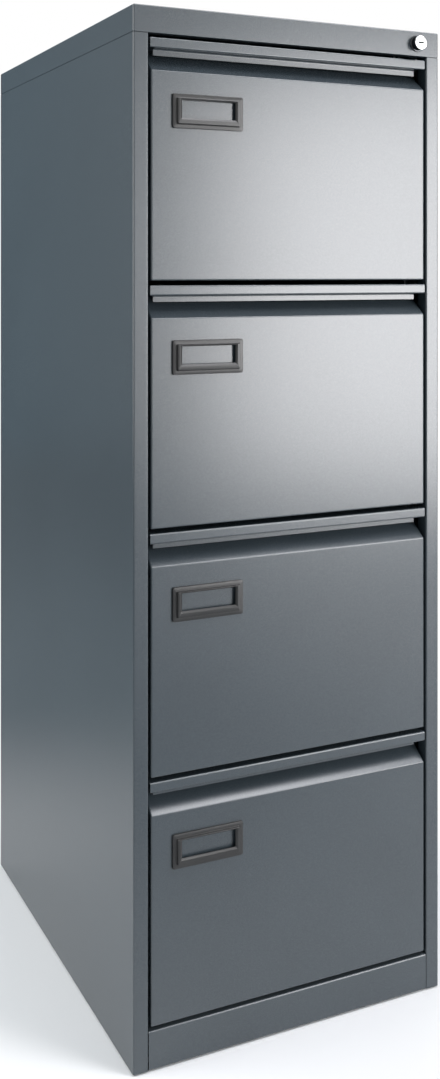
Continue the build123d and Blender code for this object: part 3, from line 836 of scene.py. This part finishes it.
studioFloor = {
    "halfSize": 5.0,
    "squares": 12,
    "roughness": 0.7,
    "specular": 0.2,
    "paper": (0.86, 0.86, 0.86),
    "paintedShadeBeyond": (0.26, 0.30, 0.325),     # painted shade: the floor past the edge of the paper, darkened to stand in for the unlit room
    "paperCentre": (0.5, -1.0, 0.0),
    "paperEdge": (1.6, 2.3),
    "paintedShade": (0.29, 0.31, 0.33),        # painted shade: a darker patch in front, between the paper and the lamp
    "paintedShadeCentre": (-0.15, -1.9, 0.0),
    "paintedShadeEdge": (0.6, 1.75),
    "fade": (0.34, 0.58),              # where the camera's view of it turns into the white background
}


def buildFloor():
    mesh = bpy.data.meshes.new("studioFloor")
    grid = bmesh.new()
    bmesh.ops.create_grid(grid, x_segments=studioFloor["squares"], y_segments=studioFloor["squares"],
                          size=studioFloor["halfSize"])
    grid.to_mesh(mesh)
    grid.free()
    floor = meshObject("studioFloor", mesh)
    material, tree = startMaterial("studioFloor")
    position = objectPosition(tree)
    fade = smoothEdge(tree, distanceFrom(tree, position, (0, 0, 0)), studioFloor["fade"])
    path = addNode(tree, "ShaderNodeLightPath")
    seen = addNode(tree, "ShaderNodeMath", operation="MULTIPLY")
    link(tree, path.outputs["Is Camera Ray"], seen.inputs[0])
    link(tree, fade, seen.inputs[1])
    paper = addNode(tree, "ShaderNodeBsdfPrincipled", {"Roughness": studioFloor["roughness"],
                                                       "Specular IOR Level": studioFloor["specular"]})
    edge = smoothEdge(tree, distanceFrom(tree, position, studioFloor["paperCentre"]),
                      studioFloor["paperEdge"])
    # painted shade: the pale paper fades into the darkened floor beyond it
    sheet = twoTone(tree, edge, studioFloor["paper"], studioFloor["paintedShadeBeyond"])
    # painted shade: the floor is darkened in a patch in front, which the fronts reflect
    paintedShade = smoothEdge(tree, distanceFrom(tree, position, studioFloor["paintedShadeCentre"]), studioFloor["paintedShadeEdge"])
    tone = twoTone(tree, paintedShade, studioFloor["paintedShade"], (0, 0, 0))
    link(tree, sheet, tone.node.inputs[mixSecond])
    link(tree, tone, paper.inputs["Base Color"])
    white = addNode(tree, "ShaderNodeEmission", {"Color": (1, 1, 1, 1), "Strength": 1.0})
    mix = addNode(tree, "ShaderNodeMixShader")
    link(tree, seen.outputs[0], mix.inputs[0])
    link(tree, paper.outputs[0], mix.inputs[1])
    link(tree, white.outputs[0], mix.inputs[2])
    finish(tree, mix)
    mesh.materials.append(material)


studioWorld = {
    "colour": (0.34, 0.37, 0.40),      # what the room adds to the lamps
    "background": (1.0, 1.0, 1.0),
    "dimColour": (0.09, 0.16, 0.21),   # the unlit end of the room, behind the cabinet
    "dimHeading": 6.0,                 # degrees from +Y towards -X
    "dimEdge": (0.87, 0.995),
}


def buildWorld():
    world = bpy.data.worlds.new("studio")
    world.use_nodes = True
    tree = world.node_tree
    tree.nodes.clear()
    heading = math.radians(studioWorld["dimHeading"])
    direction = addNode(tree, "ShaderNodeTexCoord")
    level = addNode(tree, "ShaderNodeVectorMath", operation="MULTIPLY")
    level.inputs[1].default_value = (1, 1, 0)
    link(tree, direction.outputs["Generated"], level.inputs[0])
    compass = addNode(tree, "ShaderNodeVectorMath", operation="NORMALIZE")
    link(tree, level.outputs["Vector"], compass.inputs[0])
    along = addNode(tree, "ShaderNodeVectorMath", operation="DOT_PRODUCT")
    along.inputs[1].default_value = (-math.sin(heading), math.cos(heading), 0)
    link(tree, compass.outputs["Vector"], along.inputs[0])
    edge = smoothEdge(tree, along.outputs["Value"], studioWorld["dimEdge"])
    path = addNode(tree, "ShaderNodeLightPath")
    mirrored = addNode(tree, "ShaderNodeMath", operation="MAXIMUM")
    link(tree, path.outputs["Is Glossy Ray"], mirrored.inputs[0])
    link(tree, path.outputs["Is Transmission Ray"], mirrored.inputs[1])
    lit = twoTone(tree, mirrored.outputs[0], studioWorld["colour"], studioWorld["background"])
    room = twoTone(tree, edge, (0, 0, 0), studioWorld["dimColour"])
    link(tree, lit, room.node.inputs[mixFirst])
    white = twoTone(tree, path.outputs["Is Camera Ray"], (0, 0, 0), studioWorld["background"])
    link(tree, room, white.node.inputs[mixFirst])
    sky = addNode(tree, "ShaderNodeBackground", {"Strength": 1.0})
    link(tree, white, sky.inputs["Color"])
    output = addNode(tree, "ShaderNodeOutputWorld")
    link(tree, sky.outputs[0], output.inputs["Surface"])
    bpy.context.scene.world = world


# Each panel: the middle of its face, what it points at, its size and its brightness
lightPanels = {
    "keyPanel": {"at": (1.42, -2.40, 0.97), "towards": (-1.5, -0.30, 0.97), "size": (1.2, 1.42),
                 "brightness": 11.4, "tint": (1.0, 0.99, 1.0)},
    "overheadPanel": {"at": (1.3, -1.35, 3.2), "towards": (0.0, -0.4, 0.3), "size": (1.4, 1.5),
                      "brightness": 9.0, "tint": (0.98, 0.98, 1.03)},
    "ceilingPanel": {"at": (-0.6, 0.1, 3.4), "towards": (-0.3, 0.0, 0.0), "size": (2.2, 2.2),
                     "brightness": 2.3, "tint": (0.97, 1.0, 1.02)},
    "leftPanel": {"at": (-2.2, 0.3, 1.3), "towards": (-0.2, 0.1, 0.2), "size": (1.6, 1.8),
                  "brightness": 4.6, "tint": (0.98, 0.98, 0.98)},
    "backPanel": {"at": (1.9, 2.3, 1.5), "towards": (0.0, 0.0, 0.8), "size": (1.4, 1.8),
                  "brightness": 1.6, "tint": (1.0, 1.0, 1.0)},
}


def buildLights():
    for name, panel in lightPanels.items():
        width, height = panel["size"]
        lamp = bpy.data.lights.new(name, "AREA")
        lamp.shape = "RECTANGLE"
        lamp.size = width
        lamp.size_y = height
        lamp.color = panel["tint"]
        lamp.energy = panel["brightness"] * width * height * math.pi
        holder = bpy.data.objects.new(name, lamp)
        place = Vector(panel["at"])
        turn = (Vector(panel["towards"]) - place).to_track_quat("-Z", "Y")
        holder.matrix_world = Matrix.Translation(place) @ turn.to_matrix().to_4x4()
        holder.visible_camera = False
        bpy.context.scene.collection.objects.link(holder)


# The camera, found from the cabinet's outline and drawer lines in the photograph
photoCamera = {
    "frame": (440, 1079),
    "focalPixels": 1264.0,
    "centre": (247.8, 272.5),
    "at": (-0.780, -1.7615, 0.989),
    "heading": 26.03,
    "sensor": 36.0,
    "clipStart": 0.05,
}


def buildCamera():
    width, height = photoCamera["frame"]
    centreX, centreY = photoCamera["centre"]
    data = bpy.data.cameras.new("photoCamera")
    data.sensor_width = photoCamera["sensor"]
    data.lens = photoCamera["focalPixels"] * photoCamera["sensor"] / height
    data.shift_x = (width / 2 - centreX) / height
    data.shift_y = (centreY - height / 2) / height
    data.clip_start = photoCamera["clipStart"]
    camera = bpy.data.objects.new("photoCamera", data)
    camera.location = photoCamera["at"]
    camera.rotation_euler = (math.pi / 2, 0, -math.radians(photoCamera["heading"]))
    bpy.context.scene.collection.objects.link(camera)
    bpy.context.scene.camera = camera


buildFloor()
buildWorld()
buildLights()
buildCamera()
bpy.context.scene.view_settings.view_transform = "Standard"
print("studio, lights and camera")
